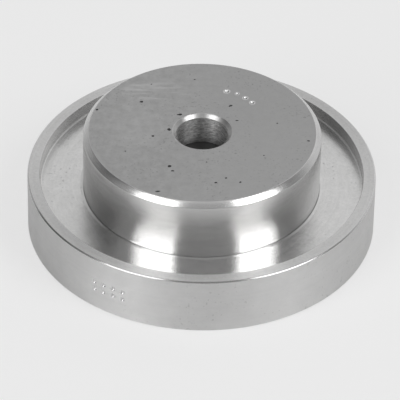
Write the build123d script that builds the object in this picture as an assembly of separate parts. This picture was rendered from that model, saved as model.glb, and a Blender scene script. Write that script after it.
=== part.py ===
from build123d import *
import os

# Press block of a watch case press: a flanged round base with an annular
# recess, and a raised round core seated in the middle of it.
#
# Frame: millimetres, +Z up, origin at the centre of the underside, on the
# turning axis. Both pieces are turned, so everything is concentric about Z.

# ---- driving dimensions (mm) -------------------------------------------------
base_diameter = 60.0          # outside of the flange
base_height = 10.6            # underside to the top of the rim
rim_inner_diameter = 55.7     # mouth of the annular recess
recess_depth = 2.45           # rim top to recess floor
recess_corner_radius = 0.25   # tool nose radius at the outer corner of the recess
rim_edge_break = 0.15         # outer edge of the rim, 45 degrees
rim_inner_edge_break = 0.08   # inner edge of the rim, 45 degrees
foot_edge_break = 0.30        # outer edge of the underside, 45 degrees

boss_diameter = 40.8          # outside of the core
total_height = 19.4           # underside to the top face of the core
boss_chamfer = 0.85           # top edge of the core, 45 degrees
pocket_floor_height = 4.0     # web that is left under the core
boss_lead_chamfer = 0.40      # lower edge of the core, for pressing it in
pocket_relief = 0.06          # radial gap at the mouth of the pocket
pocket_relief_depth = 0.50    # how far that gap goes down
pocket_bead_width = 0.45      # metal raised round the pocket mouth by the pressing in: how wide
pocket_bead_rise = 0.05       # and how high at the mouth

bore_diameter = 9.0           # hole that takes the spigot of the press
bore_depth = 5.7              # top face to the flat floor of the hole
bore_chamfer = 0.60           # mouth of the hole, 45 degrees

# ---- derived -----------------------------------------------------------------
r_base = base_diameter / 2
r_rim = rim_inner_diameter / 2
r_boss = boss_diameter / 2
r_bore = bore_diameter / 2
z_floor = base_height - recess_depth
r_mouth = r_boss + pocket_relief

# ---- flanged base --------------------------------------------------------------
# Underside, outer wall, rim, annular recess, then down into the pocket that
# the core is pressed into.
with BuildPart() as base_builder:
    with BuildSketch(Plane.XZ):
        with BuildLine():
            Polyline(
                (r_rim - recess_corner_radius, z_floor),
                (r_mouth + pocket_bead_width, z_floor),
                (r_mouth, z_floor + pocket_bead_rise),
                (r_mouth, z_floor - pocket_relief_depth),
                (r_boss, z_floor - pocket_relief_depth),
                (r_boss, pocket_floor_height),
                (0, pocket_floor_height),
                (0, 0),
                (r_base - foot_edge_break, 0),
                (r_base, foot_edge_break),
                (r_base, base_height - rim_edge_break),
                (r_base - rim_edge_break, base_height),
                (r_rim + rim_inner_edge_break, base_height),
                (r_rim, base_height - rim_inner_edge_break),
                (r_rim, z_floor + recess_corner_radius),
            )
            RadiusArc(
                (r_rim, z_floor + recess_corner_radius),
                (r_rim - recess_corner_radius, z_floor),
                recess_corner_radius,
            )
        make_face()
    revolve(axis=Axis.Z)
flanged_base = base_builder.part

# ---- centre boss ---------------------------------------------------------------
# A solid round core with a chamfered top edge and a blind hole on its axis.
with BuildPart() as boss_builder:
    with BuildSketch(Plane.XZ):
        with BuildLine():
            Polyline(
                (0, pocket_floor_height),
                (r_boss - boss_lead_chamfer, pocket_floor_height),
                (r_boss, pocket_floor_height + boss_lead_chamfer),
                (r_boss, total_height - boss_chamfer),
                (r_boss - boss_chamfer, total_height),
                (r_bore + bore_chamfer, total_height),
                (r_bore, total_height - bore_chamfer),
                (r_bore, total_height - bore_depth),
                (0, total_height - bore_depth),
                close=True,
            )
        make_face()
    revolve(axis=Axis.Z)
centre_boss = boss_builder.part

# ---- one STEP per piece ----------------------------------------------------------
os.makedirs("parts", exist_ok=True)
for name, piece in (("flanged_base", flanged_base), ("centre_boss", centre_boss)):
    piece.label = name
    export_step(piece, f"parts/{name}.step")
    box = piece.bounding_box()
    print(
        name,
        "volume mm3", round(piece.volume, 1),
        "size", [round(v, 3) for v in box.size],
        "z", round(box.min.Z, 3), "to", round(box.max.Z, 3),
        "valid", piece.is_valid,
    )
overlap = flanged_base & centre_boss
print("overlap mm3", round(overlap.volume, 4) if overlap else 0.0)
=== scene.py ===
import math
import random

import bpy
import numpy as np
from mathutils import Matrix, Vector
from mathutils.geometry import delaunay_2d_cdt


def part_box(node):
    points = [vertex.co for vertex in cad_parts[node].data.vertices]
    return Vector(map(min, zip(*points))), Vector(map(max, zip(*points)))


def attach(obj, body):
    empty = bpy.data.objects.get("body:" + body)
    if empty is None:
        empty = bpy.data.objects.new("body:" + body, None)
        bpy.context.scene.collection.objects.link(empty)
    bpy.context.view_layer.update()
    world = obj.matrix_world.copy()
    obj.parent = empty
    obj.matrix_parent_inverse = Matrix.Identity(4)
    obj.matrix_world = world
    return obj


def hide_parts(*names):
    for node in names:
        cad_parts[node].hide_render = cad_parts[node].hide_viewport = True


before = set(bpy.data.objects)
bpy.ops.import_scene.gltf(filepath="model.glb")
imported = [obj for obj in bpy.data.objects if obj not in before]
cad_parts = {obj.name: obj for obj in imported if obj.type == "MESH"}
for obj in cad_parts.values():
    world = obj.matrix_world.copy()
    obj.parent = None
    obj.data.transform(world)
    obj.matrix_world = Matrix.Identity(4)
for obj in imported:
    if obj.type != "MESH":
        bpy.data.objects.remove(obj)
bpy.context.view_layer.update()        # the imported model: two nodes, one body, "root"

# ------------------------------------------------------------------------------
# Sizes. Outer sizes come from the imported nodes; the profile's inner sizes are the
# CAD's own, in millimetres. Everything is built in millimetres and written to the
# meshes in metres, in the CAD frame.
# ------------------------------------------------------------------------------
MM = 0.001
base_lo, base_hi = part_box("flanged_base")
boss_lo, boss_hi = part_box("centre_boss")
R_BASE = (base_hi.x - base_lo.x) / 2 / MM          # 30.0
Z_RIM = base_hi.z / MM                             # 10.6
R_BOSS = (boss_hi.x - boss_lo.x) / 2 / MM          # 20.4
Z_TOP = boss_hi.z / MM                             # 19.4
Z_SEAT = boss_lo.z / MM                            # 4.0
R_RIM = 27.85                                      # mouth of the recess
Z_FLOOR = Z_RIM - 2.45                             # recess floor
CORNER = 0.25                                      # fillet at the outer corner of the recess
R_MOUTH = R_BOSS + 0.06                            # pocket mouth, a hair wider than the core
BEAD_W, BEAD_H = 0.45, 0.06                        # metal raised round the mouth by the pressing in
BOSS_CH = 0.85                                     # top chamfer of the core
R_BORE, BORE_CH, BORE_DEPTH = 4.5, 0.60, 5.7
N = 512                                            # facets round the axis


# ------------------------------------------------------------------------------
# Mesh building: turned bodies from an outline, with exact corner normals, and
# flat or round areas that carry real dents and punch marks.
# ------------------------------------------------------------------------------
class Piece:
    def __init__(self):
        self.verts = []
        self.faces = []      # (vertex ids, corner normals, material)

    def add(self, p):
        self.verts.append(tuple(p))
        return len(self.verts) - 1

    def face(self, ids, normals, mat):
        a, b, c = (Vector(self.verts[i]) for i in (ids[0], ids[1], ids[2]))
        geo = (b - a).cross(c - a)
        if len(ids) == 4:
            geo += (c - a).cross(Vector(self.verts[ids[3]]) - a)
        want = Vector((0, 0, 0))
        for n in normals:
            want += Vector(n)
        if geo.dot(want) < 0:
            ids, normals = ids[::-1], normals[::-1]
        self.faces.append((tuple(ids), tuple(normals), mat))

    def ring(self, r, z):
        if r <= 1e-9:
            return [self.add((0, 0, z))] * N
        return [self.add((r * math.cos(a), r * math.sin(a), z)) for a in ANGLES]

    def band(self, low, high, n0, n1, mat, skip=None):
        """Faces between two rings. n0 and n1 are the outline's normals (radial, up) at each ring."""
        for k in range(N):
            if skip is not None and skip(k):
                continue
            k2 = (k + 1) % N
            c, s, c2, s2 = COS[k], SIN[k], COS[k2], SIN[k2]
            corner = lambda n, cc, ss: (n[0] * cc, n[0] * ss, n[1])
            ids = [low[k], low[k2], high[k2], high[k]]
            normals = [corner(n0, c, s), corner(n0, c2, s2), corner(n1, c2, s2), corner(n1, c, s)]
            if ids[0] == ids[1]:
                ids, normals = ids[1:], normals[1:]
            elif ids[2] == ids[3]:
                ids, normals = ids[:3], normals[:3]
            self.face(ids, normals, mat)

    def object(self, name, materials):
        me = bpy.data.meshes.new(name)
        me.from_pydata([(x * MM, y * MM, z * MM) for x, y, z in self.verts], [], [f[0] for f in self.faces])
        me.polygons.foreach_set("use_smooth", [True] * len(self.faces))
        me.polygons.foreach_set("material_index", [f[2] for f in self.faces])
        for m in materials:
            me.materials.append(m)
        me.normals_split_custom_set([n for f in self.faces for n in f[1]])
        me.update()
        ob = bpy.data.objects.new(name, me)
        bpy.context.scene.collection.objects.link(ob)
        return ob


ANGLES = [2 * math.pi * k / N for k in range(N)]
COS = [math.cos(a) for a in ANGLES]
SIN = [math.sin(a) for a in ANGLES]


def corner(p, a, b, size, steps=6):
    """A small rounding at corner p between the straight runs from a and to b, as points on the curve."""
    p, a, b = Vector(p), Vector(a), Vector(b)
    u, v = (a - p).normalized(), (b - p).normalized()
    s0, s1 = size if isinstance(size, tuple) else (size, size)
    p0, p1 = p + u * s0, p + v * s1
    out = []
    for i in range(steps + 1):
        t = i / steps
        out.append((tuple(p0 * (1 - t) ** 2 + p * 2 * t * (1 - t) + p1 * t * t),
                    tuple((p - p0) * (1 - t) + (p1 - p) * t)))
    return out


def softened(points):
    """Rounds the corners of an outline. points are (r, z, rounding, tag of the run that follows)."""
    runs = []
    n = len(points)
    last, last_n = None, None
    for i in range(n):
        r, z, size, tag = points[i]
        if i in (0, n - 1) or size == 0:
            new = [((r, z), None)]
        else:
            new = [(q, Vector((t[1], -t[0])).normalized()) for q, t in corner((r, z), points[i - 1][:2], points[i + 1][:2], size)]
        if last is not None:
            d = Vector((new[0][0][0] - last[0], new[0][0][1] - last[1])).normalized()
            flat = (d.y, -d.x)
            runs.append((last, new[0][0], flat, flat, points[i - 1][3]))
        round_tag = points[i - 1][3] if i and points[i - 1][3] != "outer" and points[i - 1][3] != "top" else tag
        for (q0, n0), (q1, n1) in zip(new, new[1:]):
            runs.append((q0, q1, tuple(n0), tuple(n1), round_tag if round_tag not in ("outer", "top") else points[i][3]))
        last = new[-1][0]
    return runs


def outline(points):
    """Items are (start, end, tag), ("round", start, corner, end, tag) or
    ((centre r, centre z, radius, from degrees, to degrees, steps, side), None, tag).
    Returns a list of runs: ((r0, z0), (r1, z1), normal at start, normal at end, tag)."""
    runs = []
    for item in points:
        if item[0] == "round":
            _, p0, mid_p, p1, tag = item
            last = None
            for i in range(5):
                k = i / 4
                q = tuple((1 - k) ** 2 * u + 2 * k * (1 - k) * v + k * k * w for u, v, w in zip(p0, mid_p, p1))
                d = Vector(tuple((1 - k) * (v - u) + k * (w - v) for u, v, w in zip(p0, mid_p, p1))).normalized()
                if last is not None:
                    runs.append((last[0], q, last[1], (d.y, -d.x), tag))
                last = (q, (d.y, -d.x))
            continue
        a, b, tag = item
        if isinstance(a, tuple) and len(a) == 2:
            d = Vector((b[0] - a[0], b[1] - a[1])).normalized()
            n = (d.y, -d.x)
            runs.append((a, b, n, n, tag))
        else:
            cr, cz, rad, t0, t1, steps, side = a
            for i in range(steps):
                u0 = math.radians(t0 + (t1 - t0) * i / steps)
                u1 = math.radians(t0 + (t1 - t0) * (i + 1) / steps)
                p0 = (cr + rad * math.cos(u0), cz + rad * math.sin(u0))
                p1 = (cr + rad * math.cos(u1), cz + rad * math.sin(u1))
                runs.append((p0, p1, (side * math.cos(u0), side * math.sin(u0)), (side * math.cos(u1), side * math.sin(u1)), tag))
    return runs


def blob(rng, cx, cy, rx, ry, turn, depth, count=12, rough=0.12, mat=0, lip=0.0):
    """An irregular dent: closed loops of (x, y, depth), from its edge inwards, and its middle point."""
    ca, sa = math.cos(turn), math.sin(turn)
    radii = [1 + rng.uniform(-rough, rough) for _ in range(count)]
    loops = []
    levels = [(q, -depth * (1 - q * q)) for q in (1.0, 0.86, 0.66, 0.42, 0.2)]
    if lip > 0:
        levels = [(1.5, 0.0), (1.28, 0.7 * lip), (1.12, lip)] + levels
    for scale, z in levels:
        loop = []
        for i in range(count):
            a = 2 * math.pi * i / count
            x, y = rx * radii[i] * scale * math.cos(a), ry * radii[i] * scale * math.sin(a)
            loop.append((cx + x * ca - y * sa, cy + x * sa + y * ca, z))
        loops.append(loop)
    return {"loops": loops, "middle": (cx, cy, -depth), "mat": mat}


def patch(piece, border_ids, border_xy, marks, extra, place, normal, keep, mat):
    """Triangulates a flat domain with dents in it. border_* are closed loops that exist already in the piece;
    place(x, y, offset) gives the 3-D point and normal(x, y) the surface's own normal."""
    pts, edges, ids, off, group = [], [], [], [], []
    for loop_ids, loop_xy in zip(border_ids, border_xy):
        first = len(pts)
        for i, (vid, xy) in enumerate(zip(loop_ids, loop_xy)):
            pts.append(Vector(xy)); ids.append(vid); off.append(0.0); group.append(-1)
            edges.append((first + i, first + (i + 1) % len(loop_ids)))
    for m, mark in enumerate(marks):
        for li, loop in enumerate(mark["loops"]):
            first = len(pts)
            for i, (x, y, z) in enumerate(loop):
                pts.append(Vector((x, y))); ids.append(None); off.append(z); group.append(m if li > 0 else -1)
                edges.append((first + i, first + (i + 1) % len(loop)))
        x, y, z = mark["middle"]
        pts.append(Vector((x, y))); ids.append(None); off.append(z); group.append(m)
    for x, y in extra:
        pts.append(Vector((x, y))); ids.append(None); off.append(0.0); group.append(-1)
    out_v, _, out_f, orig_v, _, _ = delaunay_2d_cdt(pts, edges, [], 0, 1e-7, True)
    index = []
    for k, v in enumerate(out_v):
        src = orig_v[k][0] if orig_v[k] else None
        if src is not None and ids[src] is not None:
            index.append((ids[src], -1))
        else:
            z = off[src] if src is not None else 0.0
            index.append((piece.add(place(v.x, v.y, z)), group[src] if src is not None else -1))
    tris = []
    for f in out_f:
        cx = sum(out_v[i].x for i in f) / 3
        cy = sum(out_v[i].y for i in f) / 3
        if keep(cx, cy):
            inside = [index[i][1] for i in f if index[i][1] >= 0]
            tris.append((f, inside[0] if inside else -1))
    sums = {}
    face_n = []
    for f, g in tris:
        a, b, c = (Vector(piece.verts[index[i][0]]) for i in f)
        n = (b - a).cross(c - a)
        if n.dot(Vector(normal(out_v[f[0]].x, out_v[f[0]].y))) < 0:
            n = -n
        face_n.append(n)
        if g >= 0:
            for i in f:
                sums[(i, g)] = sums.get((i, g), Vector((0, 0, 0))) + n
    for (f, g), n in zip(tris, face_n):
        if g < 0:
            normals = [tuple(normal(out_v[i].x, out_v[i].y)) for i in f]
            piece.face([index[i][0] for i in f], normals, mat)
        else:
            normals = [tuple(sums[(i, g)].normalized()) for i in f]
            piece.face([index[i][0] for i in f], normals, marks[g]["mat"])


# ------------------------------------------------------------------------------
# Materials. All are bare turned metal: what differs is how each face was cut and
# how worn it is, plus painted light and shade in three places: a painted highlight on the rim's edge break, painted
# shade towards the bottom of the bore and a near-black painted bore floor. Coordinates are the object's own, in metres.
# ------------------------------------------------------------------------------
def tree(name):
    m = bpy.data.materials.new(name)
    m.use_nodes = True
    nt = m.node_tree
    return m, nt, nt.nodes["Principled BSDF"]


class G:
    """Short names for the nodes that the materials use."""

    def __init__(self, nt):
        self.nt = nt
        self.co = nt.nodes.new("ShaderNodeTexCoord").outputs["Object"]
        sep = nt.nodes.new("ShaderNodeSeparateXYZ")
        nt.links.new(self.co, sep.inputs[0])
        self.x, self.y, self.z = sep.outputs
        self.r = self.m("POWER", self.m("ADD", self.m("MULTIPLY", self.x, self.x), self.m("MULTIPLY", self.y, self.y)), 0.5)
        self.a = self.m("ARCTAN2", self.y, self.x)

    def put(self, socket, v):
        if isinstance(v, (int, float)):
            socket.default_value = v
        elif isinstance(v, tuple):
            socket.default_value = v
        else:
            self.nt.links.new(v, socket)

    def m(self, op, a, b=0.0, c=0.0):
        n = self.nt.nodes.new("ShaderNodeMath")
        n.operation = op
        for i, v in enumerate((a, b, c)):
            self.put(n.inputs[i], v)
        return n.outputs[0]

    def xyz(self, a, b, c):
        n = self.nt.nodes.new("ShaderNodeCombineXYZ")
        for i, v in enumerate((a, b, c)):
            self.put(n.inputs[i], v)
        return n.outputs[0]

    def noise(self, vec, scale, detail=2.0, rough=0.5, dims="3D", w=0.0):
        n = self.nt.nodes.new("ShaderNodeTexNoise")
        n.noise_dimensions = dims
        if dims == "1D":
            self.put(n.inputs["W"], vec)
        else:
            self.put(n.inputs["Vector"], vec)
        if dims == "4D":
            self.put(n.inputs["W"], w)
        n.inputs["Scale"].default_value = scale
        n.inputs["Detail"].default_value = detail
        n.inputs["Roughness"].default_value = rough
        return n.outputs[0]

    def span(self, v, a, b, c, d, kind="LINEAR"):
        n = self.nt.nodes.new("ShaderNodeMapRange")
        n.interpolation_type = kind
        n.clamp = True
        self.put(n.inputs["Value"], v)
        for key, val in (("From Min", a), ("From Max", b), ("To Min", c), ("To Max", d)):
            self.put(n.inputs[key], val)
        return n.outputs[0]

    def mixc(self, f, a, b, kind="MIX"):
        n = self.nt.nodes.new("ShaderNodeMix")
        n.data_type = "RGBA"
        n.blend_type = kind
        self.put(n.inputs[0], f)
        self.put(n.inputs[6], a)
        self.put(n.inputs[7], b)
        return n.outputs[2]

    def bump(self, height, distance, strength=1.0, under=None):
        n = self.nt.nodes.new("ShaderNodeBump")
        n.inputs["Strength"].default_value = strength
        n.inputs["Distance"].default_value = distance
        self.put(n.inputs["Height"], height)
        if under is not None:
            self.put(n.inputs["Normal"], under)
        return n.outputs[0]

    def tangent(self):
        n = self.nt.nodes.new("ShaderNodeTangent")
        n.direction_type = "RADIAL"
        n.axis = "Z"
        return n.outputs[0]

    def scratches(self, turn, length, width, density, seed):
        """Fine straight scratches, all roughly one way: 0 to 1, mostly 0."""
        c, s = math.cos(turn), math.sin(turn)
        u = self.m("ADD", self.m("MULTIPLY", self.x, c), self.m("MULTIPLY", self.y, s))
        v = self.m("SUBTRACT", self.m("MULTIPLY", self.y, c), self.m("MULTIPLY", self.x, s))
        w = self.m("ADD", v, self.m("MULTIPLY", self.noise(self.co, 60.0, 1.0), 0.0012))
        n = self.noise(self.xyz(self.m("MULTIPLY", u, 1.0 / length), self.m("MULTIPLY", w, 1.0 / width), seed), 1.0, 1.0, 0.4)
        return self.span(n, 1.0 - density, 1.0 - density + 0.06, 0.0, 1.0)


def grey(v, tint=(1.0, 1.0, 1.0)):
    return (v * tint[0], v * tint[1], v * tint[2], 1.0)


def turned_metal(name, tone, along, across_groove, axis, ring_mm=0.12, ring_rough=0.05, ring_tone=0.03,
                 blotch=0.04, blotch_mm=7.0, grain=0.02, grain_mm=0.25, streak=0.0, streak_mm=(6.0, 0.35), arc_mm=20.0, speck=0.0,
                 scratch=0.0, bump_um=6.0, tint=(1.0, 0.997, 0.992)):
    """Metal cut on a lathe. across_groove and along are how widely the finish spreads light across its grooves
    and along them. axis is the outline coordinate the tool moved along: "z" on walls, "r" on faces."""
    m, nt, p = tree(name)
    g = G(nt)
    t = g.z if axis == "z" else g.r
    half = lambda v: g.m("SUBTRACT", v, 0.5)
    times = lambda v, k: g.m("MULTIPLY", v, k)
    add = lambda *vs: vs[0] if len(vs) == 1 else g.m("ADD", vs[0], add(*vs[1:]))
    # the tool's marks: fine lines round the axis, of uneven depth and never quite true
    wander = times(g.noise(g.xyz(g.m("COSINE", g.a), g.m("SINE", g.a), 3.1), 1.3, 1.0), 0.00004)
    tt = add(t, wander)
    fine = g.noise(tt, 1000.0 / ring_mm, 2.0, 0.6, "1D")
    broad = g.noise(tt, 1000.0 / (ring_mm * 9), 2.0, 0.55, "1D")
    blot = g.noise(g.co, 1000.0 / blotch_mm, 3.0, 0.6)
    grn = g.noise(g.co, 1000.0 / grain_mm, 2.0, 0.6)
    v = add(times(half(fine), ring_tone * 2), times(half(broad), ring_tone * 3), times(half(blot), blotch * 2.4), times(half(grn), grain * 2))
    height = add(times(fine, 0.6), times(broad, 0.8))
    ro_x = add(times(half(fine), ring_rough), times(half(blot), ring_rough * 0.8))
    if streak > 0:
        # marks that run part of the way round: rubbing, handling, a drifting tool
        turns = arc_mm / streak_mm[0]
        st = g.noise(g.xyz(times(g.m("COSINE", g.a), turns), times(g.m("SINE", g.a), turns), times(t, 1000.0 / streak_mm[1])), 1.0, 2.0, 0.55)
        v = add(v, times(half(st), streak * 2.4))
        height = add(height, times(st, 0.5))
        ro_x = add(ro_x, times(half(st), ring_rough))
    col = g.mixc(add(0.5, v), grey(tone * 0.5, tint), grey(tone * 1.5, tint))
    if scratch > 0:
        sc = g.m("MINIMUM", add(g.scratches(0.35, 0.006, 0.00007, 0.30, 1.7), g.scratches(1.9, 0.004, 0.00006, 0.28, 5.2),
                                g.scratches(2.7, 0.009, 0.00008, 0.27, 9.4)), 1.0)
        col = g.mixc(times(sc, scratch), col, grey(min(tone * 1.4, 0.95), tint))
        height = add(height, times(sc, 0.5 * scratch))
    if speck > 0:
        # small stains and knocks, in loose groups
        group = g.span(g.noise(g.co, 1000.0 / 9.0, 2.0, 0.5), 0.45, 0.62, 0.0, 1.0)
        sp = g.m("MULTIPLY", g.span(g.noise(g.co, 1000.0 / 0.55, 1.0, 0.5), 0.66, 0.74, 0.0, 1.0), group)
        col = g.mixc(times(sp, speck), col, grey(tone * 0.35, tint))
        height = g.m("SUBTRACT", height, times(sp, 0.8 * speck))
    rough = (along * across_groove) ** 0.25
    aniso = (1.0 - along / across_groove) / 0.9
    nt.links.new(col, p.inputs["Base Color"])
    nt.links.new(g.span(add(rough, ro_x), 0.02, 0.95, 0.02, 0.95), p.inputs["Roughness"])
    nt.links.new(g.bump(height, bump_um * 1e-6), p.inputs["Normal"])
    p.inputs["Metallic"].default_value = 1.0
    if aniso > 0.02:
        p.inputs["Anisotropic"].default_value = aniso
        p.inputs["Anisotropic Rotation"].default_value = 0.25
        nt.links.new(g.tangent(), p.inputs["Tangent"])
    return m, nt, p, g


def plain_metal(name, tone, rough, grain_mm=0.15, vary=0.25, tint=(1.0, 1.0, 1.0)):
    m, nt, p = tree(name)
    g = G(nt)
    n = g.noise(g.co, 1000.0 / grain_mm, 3.0, 0.6)
    nt.links.new(g.mixc(n, grey(tone * (1 - vary), tint), grey(tone * (1 + vary), tint)), p.inputs["Base Color"])
    nt.links.new(g.span(n, 0.3, 0.7, rough * 0.8, min(1.0, rough * 1.2)), p.inputs["Roughness"])
    nt.links.new(g.bump(n, 4e-6, 0.6), p.inputs["Normal"])
    p.inputs["Metallic"].default_value = 1.0
    return m


outer_wall = turned_metal("satin_outer_wall", 0.76, 0.13, 0.42, "z", ring_mm=0.10, ring_tone=0.015, blotch=0.07, blotch_mm=4.0,
                          grain=0.022, grain_mm=0.45, streak=0.025, streak_mm=(5.0, 0.9), arc_mm=30, speck=0.25, bump_um=4)[0]
rim_top = turned_metal("turned_rim_face", 0.82, 0.10, 0.34, "r", ring_mm=0.09, ring_tone=0.03, blotch=0.06, blotch_mm=3.0, grain=0.13, grain_mm=0.42, streak=0.05, arc_mm=29, speck=0.2, scratch=0.25, bump_um=4)[0]
edge_break, nt, p, g = turned_metal("edge_break", 0.57, 0.03, 0.07, "z", ring_mm=0.05, ring_tone=0.03, blotch=0.10, blotch_mm=2.0, streak=0.10,
                                    streak_mm=(2.0, 0.2), arc_mm=30, bump_um=1)
across = g.m("ADD", g.m("MULTIPLY", g.x, -0.242), g.m("MULTIPLY", g.y, -0.970))
painted_edge_highlight = g.span(across, 0.0192, 0.0165, 0.0, 0.75, "SMOOTHSTEP")              # painted highlight: the edge break is lightened round its sides and back, and the part facing the camera keeps the darker tone
nt.links.new(g.mixc(painted_edge_highlight, p.inputs["Base Color"].links[0].from_socket, grey(0.95)), p.inputs["Base Color"])
recess = turned_metal("bright_recess", 0.82, 0.014, 0.11, "r", ring_mm=0.08, ring_tone=0.015, ring_rough=0.04, blotch=0.09, blotch_mm=2.6,
                      grain=0.10, grain_mm=0.42, streak=0.06, streak_mm=(5.0, 0.4), arc_mm=24, speck=0.50, scratch=0.14, bump_um=1.0)[0]
rim_wall = turned_metal("bright_rim_wall", 0.70, 0.02, 0.12, "z", ring_mm=0.08, ring_tone=0.02, streak=0.06, arc_mm=28, bump_um=1.2)[0]
underside = turned_metal("turned_underside", 0.62, 0.10, 0.32, "r", ring_mm=0.14, ring_tone=0.05, streak=0.06, arc_mm=18, speck=0.35, scratch=0.4, bump_um=6)[0]
boss_wall = turned_metal("polished_boss_wall", 0.80, 0.012, 0.11, "z", ring_mm=0.07, ring_tone=0.015, ring_rough=0.04, blotch=0.02,
                         grain=0.012, streak=0.03, bump_um=1.0)[0]
boss_chamfer = turned_metal("polished_chamfer", 0.87, 0.038, 0.09, "z", ring_mm=0.07, ring_tone=0.02, blotch=0.03, blotch_mm=3.0, grain=0.01,
                            streak=0.04, streak_mm=(3.0, 0.3), speck=0.12, bump_um=1.0)[0]
bore_chamfer = turned_metal("bore_chamfer", 0.68, 0.10, 0.16, "z", ring_mm=0.06, ring_tone=0.05, blotch=0.10, blotch_mm=1.5, grain=0.06,
                            streak=0.14, streak_mm=(0.8, 0.18), arc_mm=4.8, bump_um=3)[0]
boss_top, nt, p, g = turned_metal("fine_matt_face", 0.52, 0.20, 0.25, "r", ring_mm=0.10, ring_tone=0.012, ring_rough=0.04, blotch=0.06,
                                  blotch_mm=3.6, grain=0.07, grain_mm=0.40, streak=0.03, arc_mm=12, speck=0.30, scratch=0.30, bump_um=7)
bore_wall, bore_nt, bore_p, bore_g = turned_metal("drilled_bore", 0.68, 0.12, 0.42, "z", ring_mm=0.30, ring_tone=0.08, ring_rough=0.08, grain=0.36, grain_mm=0.24,
                                                        streak=0.85, streak_mm=(0.8, 0.17), arc_mm=4.5, bump_um=40)
painted_bore_shade = bore_g.span(bore_g.z, (Z_TOP - BORE_DEPTH) * MM, (Z_TOP - BORE_DEPTH + 1.5) * MM, 0.60, 0.0, "SMOOTHSTEP")      # painted shade: the bore wall is darkened towards the bottom of the hole
bore_nt.links.new(bore_g.mixc(painted_bore_shade, bore_p.inputs["Base Color"].links[0].from_socket, grey(0.16)), bore_p.inputs["Base Color"])
# painted shade: the bore's floor gets a near-black tone that stands in for the shade at the bottom of the hole
painted_shade_bore_floor = plain_metal("painted_shade_bore_floor", 0.10, 0.6)
dent = plain_metal("old_dent", 0.10, 0.65)
punch = plain_metal("punched_mark", 0.78, 0.24, vary=0.12)

# the core's face: handling marks on its left half, small pores, a few darker stains and a patch of wipe marks near its back left
col = p.inputs["Base Color"].links[0].from_socket
marks = g.noise(g.co, 1000.0 / 1.5, 3.0, 0.65)
marks = g.m("MULTIPLY", g.m("SUBTRACT", marks, 0.5), g.span(g.x, -0.009, 0.006, 0.85, 0.20))
col = g.mixc(g.m("ADD", 0.5, marks), g.mixc(0.55, col, grey(0.26)), g.mixc(0.55, col, grey(0.78)))
pores = g.noise(g.co, 1000.0 / 0.42, 1.0, 0.5)
clouds = g.noise(g.co, 1000.0 / 6.0, 2.0, 0.5)
spot = g.m("MULTIPLY", g.span(pores, 0.63, 0.72, 0.0, 1.0), g.span(clouds, 0.44, 0.60, 0.1, 1.0))
col = g.mixc(g.m("MULTIPLY", spot, 0.45), col, grey(0.22))
dx = g.m("DIVIDE", g.m("ADD", g.x, 0.0085), 0.0072)
dy = g.m("DIVIDE", g.m("SUBTRACT", g.y, 0.0113), 0.0032)
far = g.m("ADD", g.m("MULTIPLY", dx, dx), g.m("MULTIPLY", dy, dy))
wipe = g.noise(g.xyz(g.m("MULTIPLY", g.x, 160.0), g.m("MULTIPLY", g.y, 1500.0), 0.3), 1.0, 2.0, 0.5)
wipe = g.m("MULTIPLY", g.span(far, 0.2, 1.0, 1.0, 0.0, "SMOOTHSTEP"), g.span(wipe, 0.45, 0.62, 0.0, 1.0))
col = g.mixc(g.m("MULTIPLY", wipe, 0.45), col, grey(0.78))
ex = g.m("DIVIDE", g.m("ADD", g.x, 0.0115), 0.0060)
ey = g.m("DIVIDE", g.m("SUBTRACT", g.y, 0.0005), 0.0085)
pale = g.span(g.m("ADD", g.m("MULTIPLY", ex, ex), g.m("MULTIPLY", ey, ey)), 0.0, 1.0, 1.0, 0.0, "SMOOTHSTEP")
pale = g.m("MULTIPLY", pale, g.span(clouds, 0.3, 0.6, 0.5, 1.0))
col = g.mixc(g.m("MULTIPLY", pale, 0.22), col, grey(0.74))
nt.links.new(col, p.inputs["Base Color"])

# ------------------------------------------------------------------------------
# Base
# ------------------------------------------------------------------------------
WALL, RIM, FLOOR, RIN, UNDER, PUNCH, EDGE = range(7)
base_mats = [outer_wall, rim_top, recess, rim_wall, underside, punch, edge_break]
rb = R_BASE
edge, worn = 0.19, 0.05                             # the rim's outer edge, with its two corners worn a little
base_runs = outline([
    ((0.0, 0.0), (rb - 0.30, 0.0), UNDER),
    ((rb - 0.30, 0.0), (rb, 0.30), WALL),
    ((rb, 0.30), (rb, Z_RIM - edge - worn), "outer"),
    ("round", (rb, Z_RIM - edge - worn), (rb, Z_RIM - edge), (rb - worn * 0.7, Z_RIM - edge + worn * 0.7), EDGE),
    ((rb - worn * 0.7, Z_RIM - edge + worn * 0.7), (rb - edge + worn * 0.7, Z_RIM - worn * 0.7), EDGE),
    ("round", (rb - edge + worn * 0.7, Z_RIM - worn * 0.7), (rb - edge, Z_RIM), (rb - edge - worn, Z_RIM), EDGE),
    ((rb - edge - worn, Z_RIM), (R_RIM + 0.08, Z_RIM), RIM),
    ((R_RIM + 0.08, Z_RIM), (R_RIM, Z_RIM - 0.08), RIN),
    ((R_RIM, Z_RIM - 0.08), (R_RIM, Z_FLOOR + CORNER), RIN),
    ((R_RIM - CORNER, Z_FLOOR + CORNER, CORNER, 0, -90, 6, -1), None, FLOOR),
    ((R_RIM - CORNER, Z_FLOOR), (R_MOUTH + BEAD_W, Z_FLOOR), FLOOR),
    ((R_MOUTH + BEAD_W, Z_FLOOR), (R_MOUTH, Z_FLOOR + BEAD_H), FLOOR),
    ((R_MOUTH, Z_FLOOR + BEAD_H), (R_MOUTH, Z_FLOOR - 0.50), RIN),
    ((R_MOUTH, Z_FLOOR - 0.50), (R_BOSS, Z_FLOOR - 0.50), RIN),
    ((R_BOSS, Z_FLOOR - 0.50), (R_BOSS, Z_SEAT), RIN),
    ((R_BOSS, Z_SEAT), (0.0, Z_SEAT), UNDER),
])
rng = random.Random(7)
base = Piece()


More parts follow.
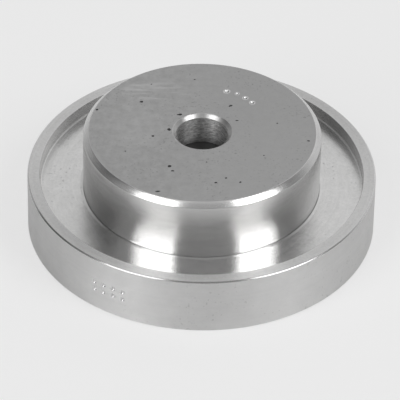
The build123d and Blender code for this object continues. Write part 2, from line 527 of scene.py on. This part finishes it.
def wall_place(s, z, off):
    a = s / R_BASE - math.pi / 2
    return ((R_BASE + off) * math.cos(a), (R_BASE + off) * math.sin(a), z)


def wall_normal(s, z):
    a = s / R_BASE - math.pi / 2
    return (math.cos(a), math.sin(a), 0.0)


# generic punched dots on the outer wall, in two rows of four
wall_marks = []
for i, deg in enumerate((-36.0, -32.6, -29.0, -25.4)):
    for j, z in enumerate((5.75, 4.25)):
        s = math.radians(deg) * R_BASE + rng.uniform(-0.08, 0.08)
        wall_marks.append(blob(rng, s, z + rng.uniform(-0.06, 0.06), 0.36, 0.36, 0.0, 0.24, 16, 0.05, PUNCH, 0.012))
K0, K1 = round((-41.0 + 270) / 360 * N), round((-20.0 + 270) / 360 * N)      # facets that the marks' patch covers

first = None
ring = base.ring(*base_runs[0][0])
first = ring
for i, (a, b, n0, n1, tag) in enumerate(base_runs):
    nxt = first if i == len(base_runs) - 1 and abs(b[0] - base_runs[0][0][0]) < 1e-9 and abs(b[1] - base_runs[0][0][1]) < 1e-9 else base.ring(*b)
    if tag == "outer":
        base.band(ring, nxt, n0, n1, WALL, skip=lambda k: K0 <= k < K1)
        step = 2 * math.pi * R_BASE / N
        s_of = lambda k: (ANGLES[k] - 1.5 * math.pi) * R_BASE
        low = [(ring[k], (s_of(k), a[1])) for k in range(K0, K1 + 1)]
        high = [(nxt[k], (s_of(k), b[1])) for k in range(K1, K0 - 1, -1)]
        loop = low + high
        s0, s1 = s_of(K0), s_of(K1)
        near = [m["middle"] for m in wall_marks]
        extra = []
        for k in range(K0 + 1, K1):
            for j in range(1, 20):
                x, y = s_of(k), a[1] + (b[1] - a[1]) * j / 20
                if all((x - q[0]) ** 2 + (y - q[1]) ** 2 > 0.85 ** 2 for q in near):
                    extra.append((x, y))
        patch(base, [[v for v, _ in loop]], [[q for _, q in loop]], wall_marks, extra, wall_place, wall_normal,
              lambda x, y: s0 < x < s1 and a[1] < y < b[1], WALL)
    else:
        base.band(ring, nxt, n0, n1, tag)
    ring = nxt
base_ob = base.object("flanged_base_body", base_mats)

# ------------------------------------------------------------------------------
# Core
# ------------------------------------------------------------------------------
BWALL, BCH, TOP, BORE, BFLOOR, DENT, PUNCH2, BCH2 = range(8)
boss_mats = [boss_wall, boss_chamfer, boss_top, bore_wall, painted_shade_bore_floor, dent, punch, bore_chamfer]
rt = R_BOSS - BOSS_CH
boss_runs = softened([
    (0.0, Z_SEAT, 0, BWALL),
    (R_BOSS - 0.40, Z_SEAT, 0, BWALL),
    (R_BOSS, Z_SEAT + 0.40, 0, BWALL),
    (R_BOSS, Z_TOP - BOSS_CH, 0.07, BCH),
    (rt, Z_TOP, (0.80, 0.10), "top"),
    (R_BORE + BORE_CH, Z_TOP, (0.07, 0.26), BCH2),
    (R_BORE, Z_TOP - BORE_CH, 0.06, BORE),
    (R_BORE, Z_TOP - BORE_DEPTH, 0, BFLOOR),
    (0.0, Z_TOP - BORE_DEPTH, 0, BFLOOR),
])
boss = Piece()
top_marks = []
# small dents and pores on the face: x, y, long and short radius, depth
for x, y, a, b, turn, d in (
    (-10.6, 8.1, 0.28, 0.22, 0.3, 0.12), (-5.7, 0.3, 0.28, 0.27, 0.0, 0.16), (-8.4, -1.6, 0.20, 0.18, 0.9, 0.10),
    (-5.4, -9.9, 0.30, 0.24, 0.4, 0.12), (-4.9, -11.2, 0.26, 0.14, 0.2, 0.08), (-18.2, 5.6, 0.22, 0.16, 1.2, 0.08),
    (-3.9, 4.6, 0.42, 0.21, 0.1, 0.12), (-7.3, -16.9, 0.34, 0.16, 0.2, 0.08), (4.8, 7.4, 0.34, 0.16, 0.6, 0.10),
    (5.9, 3.2, 0.26, 0.12, 0.0, 0.05), (4.1, -12.9, 0.18, 0.14, 0.5, 0.06), (2.4, -14.2, 0.22, 0.14, 0.3, 0.07),
    (6.5, -14.0, 0.20, 0.14, 1.0, 0.07), (18.1, -2.2, 0.20, 0.14, 0.0, 0.05),
    (-13.0, -6.0, 0.14, 0.11, 0.0, 0.05), (10.5, -6.5, 0.13, 0.10, 0.7, 0.05), (-1.5, 14.8, 0.15, 0.10, 0.2, 0.05),
    (12.8, 2.6, 0.14, 0.10, 0.4, 0.05), (-9.0, 13.2, 0.13, 0.10, 0.9, 0.05), (0.8, -8.6, 0.12, 0.10, 0.1, 0.04),
):
    top_marks.append(blob(rng, x, y, a * 1.15, b * 1.25, turn, d, 12, 0.22, DENT))
# generic punched dots in a short row near the back
for x, y, a in ((4.1, 11.5, 0.42), (5.9, 10.9, 0.30), (7.3, 9.7, 0.38), (8.5, 8.4, 0.38)):
    top_marks.append(blob(rng, x, y, a, a * 0.94, 0.4, 0.60 * a, 18, 0.05, PUNCH2, 0.012))

ring = boss.ring(*boss_runs[0][0])
for i, (a, b, n0, n1, tag) in enumerate(boss_runs):
    nxt = boss.ring(*b)
    if tag == "top":
        outer = [(a[0] * COS[k], a[0] * SIN[k]) for k in range(N)]
        inner = [(b[0] * COS[k], b[0] * SIN[k]) for k in range(N)]
        extra = []
        for rr, cnt in ((7.0, 160), (10.0, 160), (13.5, 200), (17.0, 256)):
            for k in range(cnt):
                x, y = rr * math.cos(2 * math.pi * k / cnt), rr * math.sin(2 * math.pi * k / cnt)
                if all(math.hypot(x - q["middle"][0], y - q["middle"][1]) > 1.2 for q in top_marks):
                    extra.append((x, y))
        patch(boss, [ring, nxt], [outer, inner], top_marks, extra, lambda x, y, o: (x, y, Z_TOP + o), lambda x, y: (0.0, 0.0, 1.0),
              lambda x, y: b[0] ** 2 < x * x + y * y < a[0] ** 2, TOP)
    else:
        boss.band(ring, nxt, n0, n1, tag)
    ring = nxt
boss_ob = boss.object("centre_boss_body", boss_mats)

for piece, node, slot in ((base_ob, "flanged_base", "satin_turned_metal"), (boss_ob, "centre_boss", "polished_turned_metal")):
    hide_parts(node)
    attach(piece, "root")

# ------------------------------------------------------------------------------
# Floor, light and camera
# ------------------------------------------------------------------------------
scene = bpy.context.scene
scene.view_settings.view_transform = "Standard"
me = bpy.data.meshes.new("floor")
me.from_pydata([(-4, -4, 0), (4, -4, 0), (4, 4, 0), (-4, 4, 0)], [], [(0, 1, 2, 3)])
floor = bpy.data.objects.new("floor", me)
scene.collection.objects.link(floor)
fm, fnt, fp = tree("pale_floor")
fp.inputs["Base Color"].default_value = (0.90, 0.90, 0.90, 1)
fp.inputs["Roughness"].default_value = 0.7
glow = fnt.nodes.new("ShaderNodeEmission")
glow.inputs["Color"].default_value = (0.95, 0.95, 0.95, 1)
half = fnt.nodes.new("ShaderNodeMixShader")
seen = fnt.nodes.new("ShaderNodeLightPath")
share = fnt.nodes.new("ShaderNodeMath")
share.operation = "MULTIPLY"
fg = G(fnt)
fnt.links.new(fg.span(fg.r, 0.10, 1.0, 0.58, 1.0, "SMOOTHSTEP"), share.inputs[1])      # fades into the backdrop
fnt.links.new(seen.outputs["Is Camera Ray"], share.inputs[0])
fnt.links.new(share.outputs[0], half.inputs[0])
fnt.links.new(fp.outputs[0], half.inputs[1])
fnt.links.new(glow.outputs[0], half.inputs[2])
fnt.links.new(half.outputs[0], next(n for n in fnt.nodes if n.type == "OUTPUT_MATERIAL").inputs["Surface"])
me.materials.append(fm)

SOFT = 2.2                                          # brightness of the two softboxes


def softbox(name, az, wide, low, high, distance=0.9, level=SOFT):
    """An upright rectangular softbox. az is measured from the camera's side towards +X; low and high are elevations."""
    light = bpy.data.lights.new(name, "AREA")
    light.shape = "RECTANGLE"
    a = math.radians(az)
    z0, z1 = distance * math.tan(math.radians(low)), distance * math.tan(math.radians(high))
    light.size = 2 * distance * math.tan(math.radians(wide / 2))
    light.size_y = z1 - z0
    light.energy = level * math.pi * light.size * light.size_y
    ob = bpy.data.objects.new(name, light)
    out = Vector((math.sin(a), -math.cos(a), 0))
    x = Vector((0, 0, 1)).cross(out)
    c = out * distance + Vector((0, 0, (z0 + z1) / 2))
    ob.matrix_world = Matrix(((x.x, 0, out.x, c.x), (x.y, 0, out.y, c.y), (x.z, 1, out.z, c.z), (0, 0, 0, 1)))
    ob.visible_camera = False
    scene.collection.objects.link(ob)
    return ob


softbox("softbox_left", -45.7, 39.6, 14, 60)
softbox("softbox_right", 57.1, 38.2, 26, 60, level=2.9)

world = bpy.data.worlds.new("studio")
scene.world = world
world.use_nodes = True
wnt = world.node_tree
wnt.nodes.clear()


class W(G):
    def __init__(self, nt):
        self.nt = nt


w = W(wnt)
tc = wnt.nodes.new("ShaderNodeTexCoord")
sp = wnt.nodes.new("ShaderNodeSeparateXYZ")
wnt.links.new(tc.outputs["Generated"], sp.inputs[0])
wx, wy, wz = sp.outputs
az = w.m("ARCTAN2", wx, w.m("MULTIPLY", wy, -1.0))
el = w.m("MULTIPLY", w.m("ARCSINE", wz), 180 / math.pi)
t = w.m("ADD", w.m("MULTIPLY", az, 1 / (2 * math.pi)), 0.5)


def ring_of_light(stops):
    """Brightness round the studio, by azimuth in degrees from the camera's side."""
    ramp = wnt.nodes.new("ShaderNodeValToRGB")
    els = ramp.color_ramp.elements
    while len(els) < len(stops):
        els.new(0.5)
    for e, (deg, v) in zip(els, stops):
        e.position = deg / 360 + 0.5
        e.color = (v, v, v, 1)
    wnt.links.new(t, ramp.inputs[0])
    return ramp.outputs[0]


mid = ring_of_light([(-180, .68), (-168, .55), (-156, .42), (-144, .29), (-132, .20), (-122, .15), (-112, .09), (-102, .07), (-94, .11), (-87, .26),
                     (-66, .24), (-27, .20), (-12, .15), (0, .14), (14, .16), (38, .20), (80, .30), (88, .24), (93, .14), (101, .14), (106, .22),
                     (115, .34), (123, .46), (133, .58), (146, .67), (162, .71), (180, .69)])
low = ring_of_light([(-180, .60), (-150, .46), (-135, .37), (-124, .31), (-112, .23), (-100, .22), (-90, .27), (-70, .34), (-45, .42), (0, .46),
                     (45, .42), (70, .36), (90, .32), (98, .38), (108, .42), (118, .53), (140, .56), (160, .60), (180, .60)])
side = w.mixc(w.span(el, 8.0, 36.0, 0.0, 1.0, "SMOOTHSTEP"), low, mid)
aside = w.span(w.m("ABSOLUTE", az), math.radians(30), math.radians(60), 0.0, 9.0, "SMOOTHSTEP")
up = w.span(w.m("SUBTRACT", el, aside), 45.0, 52.0, 0.0, 1.0, "SMOOTHSTEP")
light_col = w.mixc(up, side, w.mixc(w.span(el, 54.0, 72.0, 0.0, 1.0), (0.40, 0.40, 0.40, 1), (0.48, 0.48, 0.48, 1)))
lp = wnt.nodes.new("ShaderNodeLightPath")
shown = w.mixc(lp.outputs["Is Camera Ray"], light_col, (0.95, 0.95, 0.95, 1))
bg = wnt.nodes.new("ShaderNodeBackground")
wnt.links.new(shown, bg.inputs["Color"])
out = wnt.nodes.new("ShaderNodeOutputWorld")
wnt.links.new(bg.outputs[0], out.inputs["Surface"])

# the camera: a long lens, 38 degrees above the bench
ELEV, ROLL, DIST, FOCAL_PX = 38.249, 1.025, 0.6632, 3828.0
e, ro = math.radians(ELEV), math.radians(ROLL)
aim = Vector((-0.0002, 0.0, 0.00442))
back = Vector((0, -math.cos(e), math.sin(e)))
right = Vector((1, 0, 0))
upv = right.cross(-back)
r2 = right * math.cos(ro) + upv * math.sin(ro)
u2 = -right * math.sin(ro) + upv * math.cos(ro)
place = aim + back * DIST
cam_data = bpy.data.cameras.new("camera")
cam_data.sensor_width = 36.0
cam_data.lens = FOCAL_PX / 400 * 36.0
cam_data.clip_start = 0.01
cam_data.clip_end = 20
cam = bpy.data.objects.new("camera", cam_data)
cam.matrix_world = Matrix(((r2.x, u2.x, back.x, place.x), (r2.y, u2.y, back.y, place.y), (r2.z, u2.z, back.z, place.z), (0, 0, 0, 1)))
scene.collection.objects.link(cam)
scene.camera = cam
